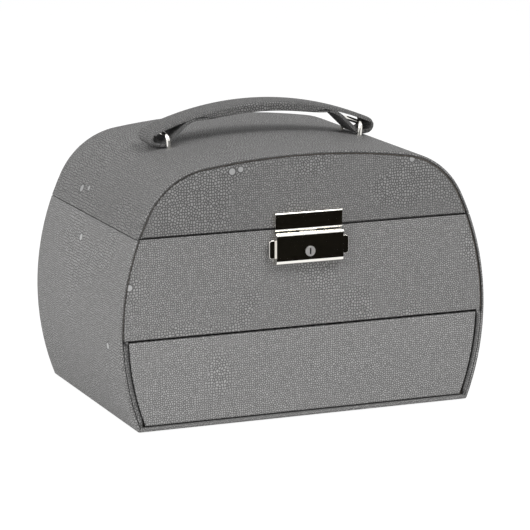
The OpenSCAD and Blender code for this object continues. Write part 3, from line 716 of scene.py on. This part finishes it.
floor_low, floor_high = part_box("floor_pad")
inwards = Vector((PAD_ROOM, PAD_ROOM, 0))
down = Vector((0, 0, PAD_ROOM))
pad = block("floor_cushion", floor_low + inwards, floor_high - inwards - down)
edit()
pick("EDGE", lambda a, b: abs(a.z - b.z) > 1 * MM)
bpy.ops.mesh.bevel(offset=3 * MM, segments=5)
edit(False)
ease(pad, 1.2 * MM, 3)
swell(pad, 1.4 * MM, 1 * MM, floor_low.z)
fit(pad, "base", suede, "suede_pad", "floor_pad", angle=60)

# ---- Ring rolls ----
# Five foam rolls wrapped in suede, side by side on the floor. Rings are pushed in between them.

ROLL_ROOM = 0.7 * MM
ROLL_END_ROOM = 0.8 * MM

roll_low, roll_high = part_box("ring_roll_1")
roll_r = (roll_high.y - roll_low.y) / 2 - ROLL_ROOM
roll_y = (roll_high.y + roll_low.y) / 2
roll_top = roll_high.z - ROLL_ROOM - roll_r
roll = block("ring_roll_a", (roll_low.x + ROLL_END_ROOM, roll_y - roll_r, roll_low.z),
             (roll_high.x - ROLL_END_ROOM, roll_y + roll_r, roll_top))
edit()
pick("FACE", lambda middle, normal: normal.z > 0.9)
bpy.ops.mesh.delete(type="FACE")


def along_rear_top(a, b):
    return min(a.z, b.z) > roll_top - 0.01 * MM and min(a.y, b.y) > roll_y


pick("EDGE", along_rear_top)
bpy.ops.mesh.spin(steps=12, angle=-math.pi, center=(0, roll_y, roll_top), axis=(1, 0, 0))
bpy.ops.mesh.select_all(action="SELECT")
bpy.ops.mesh.remove_doubles(threshold=0.05 * MM)
bpy.ops.mesh.fill_holes(sides=0)
bpy.ops.mesh.normals_make_consistent(inside=False)
edit(False)
ease(roll, 1.6 * MM, 3, angle=60)
swell(roll, 1.9 * MM, 0.9 * MM, roll_low.z)
rolls = [roll]
for letter, node in zip("bcde", ("ring_roll_2", "ring_roll_3", "ring_roll_4", "ring_roll_5")):
    twin = roll.copy()
    twin.data = roll.data.copy()
    twin.name = "ring_roll_" + letter
    twin.data.name = twin.name
    bpy.context.scene.collection.objects.link(twin)
    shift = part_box(node)[0].y - roll_low.y
    for vertex in twin.data.vertices:
        vertex.co.y += shift
    rolls.append(twin)
for piece, number in zip(rolls, "12345"):
    fit(piece, "base", suede, "suede_pad", "ring_roll_" + number, angle=60)

# ---- Lock ----
# A folded box of chromed brass in front of the base, riveted through the facing and the board.
# It holds the slider, its spring and the key's plug, and takes the hasp's tongue from above.

PLATE_ROUND = 1.4 * MM

lock_low, lock_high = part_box("lock_body")


def plate_look(place):
    smudge = place.noise(90, 3)
    swirl = place.stretched(1, 1, 0.4).noise(520, 2)
    return {
        "Base Color": smudge.tint((0.84, 0.82, 0.77, 1), (0.88, 0.865, 0.82, 1)),
        "Roughness": smudge.ramp(0.35, 0.75) * 0.02 + swirl * 0.01 + 0.015,
    }


def satin_look(place):
    turned = place.stretched(1, 0.3, 1).noise(1500, 3)
    # Painted shade: the inside of the key slot, deeper than the face, is painted near black.
    slot = place.node("SeparateXYZ", {}, {"Vector": place}, output=1)
    slot = slot.ramp(lock_low.y - 0.3 * MM, lock_low.y - 0.1 * MM)
    return {
        "Base Color": slot.tint(turned.tint(grey(0.4, 0.02), grey(0.54, 0.02)), grey(0.01)),
        "Roughness": turned * 0.12 + 0.24,
    }


def steel_look(place):
    drawn = place.stretched(0.12, 1, 1).noise(2400, 3)
    smudge = place.noise(140, 2)
    return {
        "Base Color": drawn.tint(grey(0.48, 0.02), grey(0.62, 0.02)),
        "Roughness": smudge * 0.14 + drawn * 0.1 + 0.2,
        "Normal": drawn.bump(0.02 * MM, 0.2),
    }


chrome = finish("chrome", plate_look, Metallic=1.0)
satin_chrome = finish("satin_chrome", satin_look, Metallic=1.0)
nickel = finish("nickel_plated_steel", steel_look, Metallic=1.0)


def round_again(piece, face_y, end, inward, radius):
    """Gives the round along a plate's front upper or lower edge another radius."""
    old = Vector((face_y + PLATE_ROUND, end + inward * PLATE_ROUND))
    new = Vector((face_y + radius, end + inward * radius))
    for vertex in piece.data.vertices:
        arm = Vector((vertex.co.y, vertex.co.z)) - old
        outer = arm.x < 0.01 * MM and arm.y * inward < 0.01 * MM
        if outer and abs(arm.length - PLATE_ROUND) < 0.25 * MM:
            vertex.co.y, vertex.co.z = new + arm * (radius / PLATE_ROUND)


lock_case = eased("lock_case", "lock_body", 0.18 * MM)
round_again(lock_case, lock_low.y, lock_high.z, -1, 1.6 * MM)
round_again(lock_case, lock_low.y, lock_low.z, 1, 2.4 * MM)
fit(lock_case, "base", chrome, "chrome", "lock_body")
repaint(nickel, "lock_back_plate", "lock_spring", "lock_rivets", "hasp_rivets", "bail_washers")

# ---- Hinges ----
# Two butt hinges of nickel-plated steel, screwed to the rear of the base and of the lid.
# Each has a pin through its knuckles, and its knuckles stand just behind the rear face.

for side in ("left", "right"):
    fit(eased("base_leaf_" + side, "hinge_base_leaf_" + side, 0.18 * MM), "base", nickel,
        "hinge_steel", "hinge_base_leaf_" + side)
    fit(eased("lid_leaf_" + side, "hinge_lid_leaf_" + side, 0.18 * MM), "lid", nickel,
        "hinge_steel", "hinge_lid_leaf_" + side)
repaint(nickel, "hinge_base_screws", "hinge_lid_screws", "hinge_pins")

# ---- Lid skin ----
# One sheet of the same leather over the lid's sides and top, a shade darker than the base's.
# It is folded over the boards all round, and its rim frames the lid's front and rear.

lid_hide = shagreen("lid_hide", 0.182, coarse=0.9, spots=[
    (-0.0442, 0.1421, 2 * MM), (-0.0392, 0.1430, 1.7 * MM), (0.0639, 0.1420, 1.7 * MM),
    (-0.1070, 0.0308, 2.4 * MM), (-0.1051, 0.0207, 1.8 * MM)])
lid_skin = skin("lid_skin", lid_low.z, lid_high.z)
pick("FACE", outside)
bpy.ops.mesh.delete(type="FACE")
fold_over(lid_low.z, WALL)
edit(False)
lay_hide(lid_skin, on_skin)
modify(lid_skin, "SOLIDIFY", thickness=LEATHER, offset=-1, use_even_offset=True)
ease(lid_skin, 0.3 * MM, angle=50)
darken(lid_skin, past_rim)
fit(lid_skin, "lid", lid_hide, "lid_leather", "lid_wrap")

# ---- Lid facings ----
# Leather panels over the lid's front and rear boards, folded over the boards' lower edges.

for end in ("front", "back"):
    panel("lid_" + end + "_panel", "lid_" + end + "_facing", RIM + SEAM_SHOWN, "lid",
          lid_hide, "lid_leather")

# ---- Lid lining and mirror ----
# Suede glued inside the lid, and a mirror in a plastic frame on a suede-covered block.


def plastic_look(place):
    fine = place.noise(1800, 2)
    return {
        "Base Color": fine.tint(grey(0.02), grey(0.032)),
        "Roughness": fine * 0.15 + 0.35,
    }


def mirror_look(place):
    haze = place.noise(30, 2)
    return {
        "Base Color": haze.tint((0.83, 0.86, 0.87, 1), (0.87, 0.89, 0.9, 1)),
        "Roughness": haze * 0.02 + 0.005,
    }


plastic = finish("black_plastic", plastic_look)
silvered = finish("silvered_glass", mirror_look, Metallic=1.0)
fit(eased("lid_lining", "lid_liner", 0.4 * MM), "lid", suede, "suede", "lid_liner")
fit(eased("mirror_block", "mirror_backing", 0.8 * MM, 3), "lid", suede, "suede",
    "mirror_backing")
fit(eased("mirror_rim", "mirror_frame", 0.6 * MM, 3), "lid", plastic, "mirror_frame",
    "mirror_frame")
fit(eased("mirror_plate", "mirror_glass", 0.4 * MM, 1), "lid", silvered, "mirror",
    "mirror_glass")

# ---- Hasp ----
# A chromed plate riveted to the lid's front. Its tongue drops into the lock and holds the lid.

hasp_low, hasp_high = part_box("hasp_plate")
hasp = eased("hasp", "hasp_plate", 0.15 * MM)
round_again(hasp, hasp_low.y, hasp_high.z, -1, 0.8 * MM)
fit(hasp, "lid", chrome, "chrome", "hasp_plate")

# ---- Bails ----
# Two bails of chromed wire. Their legs go through the lid's top, and washers hold them inside.

WIRE_R = 1.3 * MM
BAIL_X = 58.3 * MM
BAIL_HALF = 12.1 * MM
BAIL_BEND = 3 * MM
LEG_TOP = 4.4 * MM
LEG_DEPTH = 4.6 * MM

lean = math.asin(BAIL_X / CROWN_R)
bail_root = Vector((BAIL_X, 0, crown_c.y + CROWN_R * math.cos(lean)))
bail_up = Vector((math.sin(lean), 0, math.cos(lean)))
bail_across = Vector((math.cos(lean), 0, -math.sin(lean)))
leg_foot = bail_root - bail_up * LEG_DEPTH - Vector((0, BAIL_HALF, 0))


def bend_bail(name, side, node):
    """Draws a disc along the bail's line: side is 1 for the right bail and -1 for the left."""
    turned = Vector((side, 1, 1))
    up = bail_up * turned
    across = bail_across * Vector((1, 1, side))
    bend_y = BAIL_HALF - BAIL_BEND
    bend = bail_root * turned + up * LEG_TOP
    piece = start(name, bpy.ops.mesh.primitive_circle_add, vertices=20, radius=WIRE_R,
                  fill_type="NGON", location=leg_foot * turned, rotation=(0, side * lean, 0))
    rise = up * (LEG_DEPTH + LEG_TOP)
    edit()
    bpy.ops.mesh.select_all(action="SELECT")
    bpy.ops.mesh.extrude_region_move(TRANSFORM_OT_translate={"value": rise})
    bpy.ops.mesh.spin(steps=8, angle=math.pi / 2, center=bend - Vector((0, bend_y, 0)),
                      axis=across)
    bpy.ops.mesh.extrude_region_move(TRANSFORM_OT_translate={"value": (0, 2 * bend_y, 0)})
    bpy.ops.mesh.spin(steps=8, angle=math.pi / 2, center=bend + Vector((0, bend_y, 0)),
                      axis=across)
    bpy.ops.mesh.extrude_region_move(TRANSFORM_OT_translate={"value": -rise})
    bpy.ops.mesh.select_all(action="SELECT")
    bpy.ops.mesh.remove_doubles(threshold=0.01 * MM)
    bpy.ops.mesh.normals_make_consistent(inside=False)
    edit(False)
    fit(piece, "lid", chrome, "chrome", node, angle=50)


bend_bail("bail_wire_left", -1, "bail_left")
bend_bail("bail_wire_right", 1, "bail_right")

# ---- Strap ----
# A padded leather strap, turned down over the sides of its padding. Each end goes round its
# bail's bar, back along the lid, and up to the arch, where it is glued in over the lining.

STRAP_R = 173 * MM
STRAP_T = 1.8 * MM
PAD_T = 3.8 * MM
PAD_END_T = 1.7 * MM
LOOP_R = 4.8 * MM
FOOT_LENGTH = 4 * MM
FOOT_TURN = 4 * MM
END_HEADING = math.radians(136)
END_TURN = 16 * MM
GLUE_GAP = 0.05 * MM
PAD_SHOWN = 0.3 * MM
END_TAPER = 9 * MM
CROWNING = 0.5 * MM
BELLY = 0.4 * MM

strap_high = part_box("handle_strap")[1]
strap_half = strap_high.y
arch_c = Vector((0, strap_high.z - STRAP_R))
loop_c = Vector((strap_high.x - LOOP_R, 0))
loop_c.y = arch_c.y + math.sqrt((STRAP_R - LOOP_R) ** 2 - loop_c.x ** 2)
loop_a = math.atan2(*reversed(loop_c - arch_c))
end_r = STRAP_R - 2 * STRAP_T - GLUE_GAP


def ray(angle):
    return Vector((math.cos(angle), math.sin(angle)))


# The rising end is straight, and its last bend touches the arch's underside.
foot_c = Vector((loop_c.x - FOOT_LENGTH, loop_c.y - LOOP_R + FOOT_TURN))
rise_from = foot_c + FOOT_TURN * ray(END_HEADING + math.pi / 2)
end_arm = rise_from + END_TURN * ray(END_HEADING + math.pi / 2) - arch_c
lift = end_arm.dot(ray(END_HEADING))
rise_l = -lift + math.sqrt(lift ** 2 - end_arm.length_squared + (end_r - END_TURN) ** 2)
end_c = arch_c + end_arm + rise_l * ray(END_HEADING)
end_a = math.atan2(*reversed(end_c - arch_c))
lining_r = STRAP_R - STRAP_T - GLUE_GAP
lining_a = end_a + 0.9 * MM / end_r
lining_start = arch_c + lining_r * ray(lining_a)
rise_to = rise_from + rise_l * ray(END_HEADING)


def draw_line(to):
    """Goes on with the line to a place in the plane of X and Z."""
    active = bmesh.from_edit_mesh(bpy.context.object.data)
    last = [vertex for vertex in active.verts if vertex.select][0].co
    bpy.ops.mesh.extrude_vertices_move(
        TRANSFORM_OT_translate={"value": (to.x - last.x, 0, to.y - last.z)})


def padding(x):
    """The thickness of the padding under the arch, which ends at the strap's turned-in ends."""
    share = abs(x) / lining_start.x
    return PAD_END_T + (PAD_T - PAD_END_T) * (1 - share ** 6) if share < 1 else 0


def along_strap(co):
    """How far along the arch or round the loop a point is, and how far below the outer face."""
    arm = Vector((abs(co.x), co.z)) - arch_c
    angle = math.atan2(arm.y, arm.x)
    length = STRAP_R * (math.pi / 2 - max(angle, loop_a))
    depth = STRAP_R - arm.length
    if angle < loop_a or depth > 3 * STRAP_T:
        arm = Vector((abs(co.x), co.z)) - loop_c
        length += LOOP_R * (loop_a - math.atan2(arm.y, arm.x))
        depth = LOOP_R - arm.length
    return length, depth


def on_strap(co):
    length, depth = along_strap(co)
    return math.copysign(length, co.x), co.y + math.copysign(depth, co.y)


WIDTH_STEPS = 10


def widen(piece):
    """Draws the line out to the strap's width, and mirrors it for the other end."""
    bpy.ops.mesh.select_all(action="SELECT")
    for _ in range(WIDTH_STEPS):
        bpy.ops.mesh.extrude_region_move(
            TRANSFORM_OT_translate={"value": (0, 2 * strap_half / WIDTH_STEPS, 0)})
    bpy.ops.mesh.select_all(action="SELECT")
    bpy.ops.mesh.normals_make_consistent(inside=False)
    edit(False)
    modify(piece, "MIRROR")


strap_hide = shagreen("strap_hide", 0.148, coarse=0.6)
strap = pen("strap", (0, -strap_half, strap_high.z))
draw_arc(arch_c, -strap_half, loop_a - math.pi / 2, 26)
draw_arc(loop_c, -strap_half, -math.pi / 2 - loop_a, 18)
draw_line(Vector((foot_c.x, foot_c.y - FOOT_TURN)))
draw_arc(foot_c, -strap_half, END_HEADING - math.pi, 5)
draw_line(rise_to)
draw_arc(end_c, -strap_half, end_a + math.pi / 2 - END_HEADING, 6)
draw_arc(arch_c, -strap_half, 0.6 * MM / end_r, 1)
widen(strap)
modify(strap, "SOLIDIFY", thickness=STRAP_T, offset=-1, use_even_offset=True)


def outer_edge(a, b):
    on_side = min(abs(a.y), abs(b.y)) > strap_half - 0.01 * MM
    return on_side and max(abs(along_strap(a)[1]), abs(along_strap(b)[1])) < 0.2 * MM


edit()
pick("EDGE", outer_edge)
bpy.ops.mesh.bevel(offset=1.5 * MM, segments=5)
edit(False)
for vertex in strap.data.vertices:
    arm = Vector((vertex.co.x, vertex.co.z)) - arch_c
    if arm.length > STRAP_R - 1.1 * STRAP_T:
        sink = CROWNING * (abs(vertex.co.y) / strap_half) ** 4
        if arm.length < STRAP_R - 0.9 * STRAP_T and abs(vertex.co.y) > strap_half - 0.01 * MM:
            from_end = (lining_start.x - abs(vertex.co.x)) / END_TAPER
            sink = max(sink, padding(vertex.co.x) * min(from_end, 1) - PAD_SHOWN)
        arm = arm.normalized() * sink
        vertex.co.x -= arm.x
        vertex.co.z -= arm.y
lay_hide(strap, on_strap)
fit(strap, "handle", strap_hide, "strap_leather", "handle_strap", angle=50)

# ---- Strap lining ----
# The foam padding under the arch, with a strip of the same leather stitched on from below.
# It is thickest in the middle, where the hand holds it.

lining = pen("strap_lining", (lining_start.x, -strap_half, lining_start.y))
draw_arc(arch_c, -strap_half, math.pi / 2 - lining_a, 14)
widen(lining)
modify(lining, "SOLIDIFY", thickness=PAD_END_T, offset=-1, use_even_offset=True)
for vertex in lining.data.vertices:
    arm = (Vector((vertex.co.x, vertex.co.z)) - arch_c).normalized()
    across = abs(vertex.co.y) / strap_half
    if along_strap(vertex.co)[1] > 1.5 * STRAP_T:
        drop = padding(vertex.co.x) - PAD_END_T + BELLY * (1 - across ** 4)
        vertex.co.x -= arm.x * drop
        vertex.co.z -= arm.y * drop
    else:
        vertex.co.y *= 1 - 0.2 * across ** 8


def under_edge(a, b):
    on_side = min(abs(a.y), abs(b.y)) > strap_half - 0.01 * MM
    return on_side and min(along_strap(a)[1], along_strap(b)[1]) > 1.8 * STRAP_T


edit()
pick("EDGE", under_edge)
bpy.ops.mesh.bevel(offset=0.7 * MM, segments=4)
edit(False)
lay_hide(lining, on_strap)
fit(lining, "handle", strap_hide, "strap_leather", "handle_lining", angle=50)

# ---- Drawer ----
# A box of paper-covered board lined with suede, behind a front of board covered with leather.
# It slides on the bottom board between the two guides, and it has no pull of its own.


def paper_look(place):
    laid = place.noise(1300, 4)
    return {
        "Base Color": laid.tint(grey(0.05, -0.03), grey(0.09, -0.03)),
        "Normal": laid.bump(0.05 * MM, 0.4),
    }


drawer_hide = shagreen("drawer_hide", 0.262, coarse=0.25)
book_paper = finish("dark_paper", paper_look, Roughness=0.8)
front_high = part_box("drawer_front_facing")[1]
panel("drawer_panel", "drawer_front_facing", side_x(front_high.z) - front_high.x + BAY_RIM_EXTRA,
      "drawer", drawer_hide, "drawer_leather", thick=LEATHER, all_round=True)
front_board = eased("drawer_board", "drawer_front_board", 0.3 * MM)
for vertex in front_board.data.vertices:
    vertex.co.x -= math.copysign(BAY_RIM_EXTRA, vertex.co.x)
fit(front_board, "drawer", greyboard, "board", "drawer_front_board")
for name, node in (("drawer_wall_left", "drawer_side_left"),
                   ("drawer_wall_right", "drawer_side_right"),
                   ("drawer_rear", "drawer_back"), ("drawer_floor", "drawer_bottom")):
    fit(eased(name, node, 0.4 * MM), "drawer", book_paper, "drawer_paper", node)
fit(eased("drawer_suede", "drawer_lining", 0.3 * MM), "drawer", suede, "suede",
    "drawer_lining")
for run in ("long", "cross"):
    node = "drawer_divider_" + run
    fit(eased("drawer_" + run + "_wall", node, 0.9 * MM, 3), "drawer", suede, "suede", node)

# ---- Release slider ----
# A flat chromed bar through both sides of the lock. It is pushed to the right to free the tongue.

fit(eased("slider_bar", "release_slider", 0.35 * MM, 3), "slider", chrome, "chrome",
    "release_slider")

# ---- Key cylinder ----
# The lock's round satin plug, with a slot for the key.

fit(eased("key_plug", "key_cylinder", 0.15 * MM), "key", satin_chrome, "chrome",
    "key_cylinder")

# ---- Studio ----
# A white sweep and soft, even light from all round, as for a catalogue picture.
# A black card in front is seen only in the polished faces, which it darkens.

SKY_DIM = 0.4
SKY_DIM_ABOVE = 0.2
SWEEP_GLOW = 1.16
SWEEP_SHOWN = 0.8
BLACK = (0.0135, 0.012, 0.009, 1)


def rays_seen(tree):
    """1 for the rays that the camera or a polished face sends out, and 0 for the others."""
    paths = tree.nodes.new("ShaderNodeLightPath")
    camera_ray = Link(tree, paths.outputs["Is Camera Ray"])
    return camera_ray.math("MAXIMUM", camera_ray, Link(tree, paths.outputs["Is Glossy Ray"]))


def matt(name, colour):
    material = bpy.data.materials.new(name)
    material.use_nodes = True
    shader = material.node_tree.nodes["Principled BSDF"]
    shader.inputs["Base Color"].default_value = colour
    shader.inputs["Roughness"].default_value = 1
    shader.inputs["Specular IOR Level"].default_value = 0
    return material


def studio():
    world = bpy.data.worlds.new("studio")
    bpy.context.scene.world = world
    world.use_nodes = True
    tree = world.node_tree
    sky = tree.nodes["Background"]
    seen = rays_seen(tree)
    ahead = Link(tree, tree.nodes.new("ShaderNodeNewGeometry").outputs["Incoming"])
    height = ahead.node("SeparateXYZ", {}, {"Vector": ahead}, output=2)
    dimmed = SKY_DIM - height * height * SKY_DIM_ABOVE
    level = seen * (1 - dimmed) + dimmed
    tree.links.new(level.socket, sky.inputs["Strength"])
    sky.inputs["Color"].default_value = grey(1)

    floor = start("floor", bpy.ops.mesh.primitive_plane_add, size=8, location=(0, 0, -0.2 * MM))
    paper = matt("white_sweep", grey(0.9))
    tree = paper.node_tree
    shader = Link(tree, tree.nodes["Principled BSDF"].outputs[0])
    seen = rays_seen(tree)
    glow = seen.node("Emission", {}, {"Color": grey(1), "Strength": SWEEP_GLOW})
    shown = seen.node("MixShader", {}, {0: seen * SWEEP_SHOWN, 1: shader, 2: glow})
    tree.links.new(shown.socket, tree.nodes["Material Output"].inputs["Surface"])
    floor.data.materials.append(paper)

    card = block("black_card", (-0.03, -0.402, 0.004), (0.3, -0.4, 0.055))
    card.data.materials.append(matt("black_card", BLACK))
    for rays in ("camera", "diffuse", "shadow", "transmission", "volume_scatter"):
        setattr(card, "visible_" + rays, False)

    for name, size, energy, place in (
            ("side_softbox", 1.4, 23, Vector((-1.6, -0.5, 1.0))),
            ("front_softbox", 0.6, 12.5, Vector((0.35, -0.9, 1.3)))):
        lamp = bpy.data.lights.new(name, "AREA")
        lamp.shape = "SQUARE"
        lamp.size = size
        lamp.energy = energy
        softbox = bpy.data.objects.new(name, lamp)
        bpy.context.scene.collection.objects.link(softbox)
        softbox.location = place
        softbox.rotation_euler = (-place).to_track_quat("-Z", "Y").to_euler()


studio()

# ---- Camera ----

AZIMUTH = math.radians(-22.22)
ELEVATION = math.radians(11.84)
DISTANCE = 1.696
looked_at = Vector((0, 0.45 * MM, 75.3 * MM))
lens = bpy.data.cameras.new("camera")
lens.lens = 199.7
lens.sensor_width = 36
lens.shift_x = 0.0152
lens.shift_y = -0.0092
camera = bpy.data.objects.new("camera", lens)
bpy.context.scene.collection.objects.link(camera)
backwards = Vector((math.sin(AZIMUTH) * math.cos(ELEVATION),
                    -math.cos(AZIMUTH) * math.cos(ELEVATION), math.sin(ELEVATION)))
camera.location = looked_at + backwards * DISTANCE
camera.rotation_euler = backwards.to_track_quat("Z", "Y").to_euler()
bpy.context.scene.camera = camera
bpy.context.scene.view_settings.view_transform = "Standard"
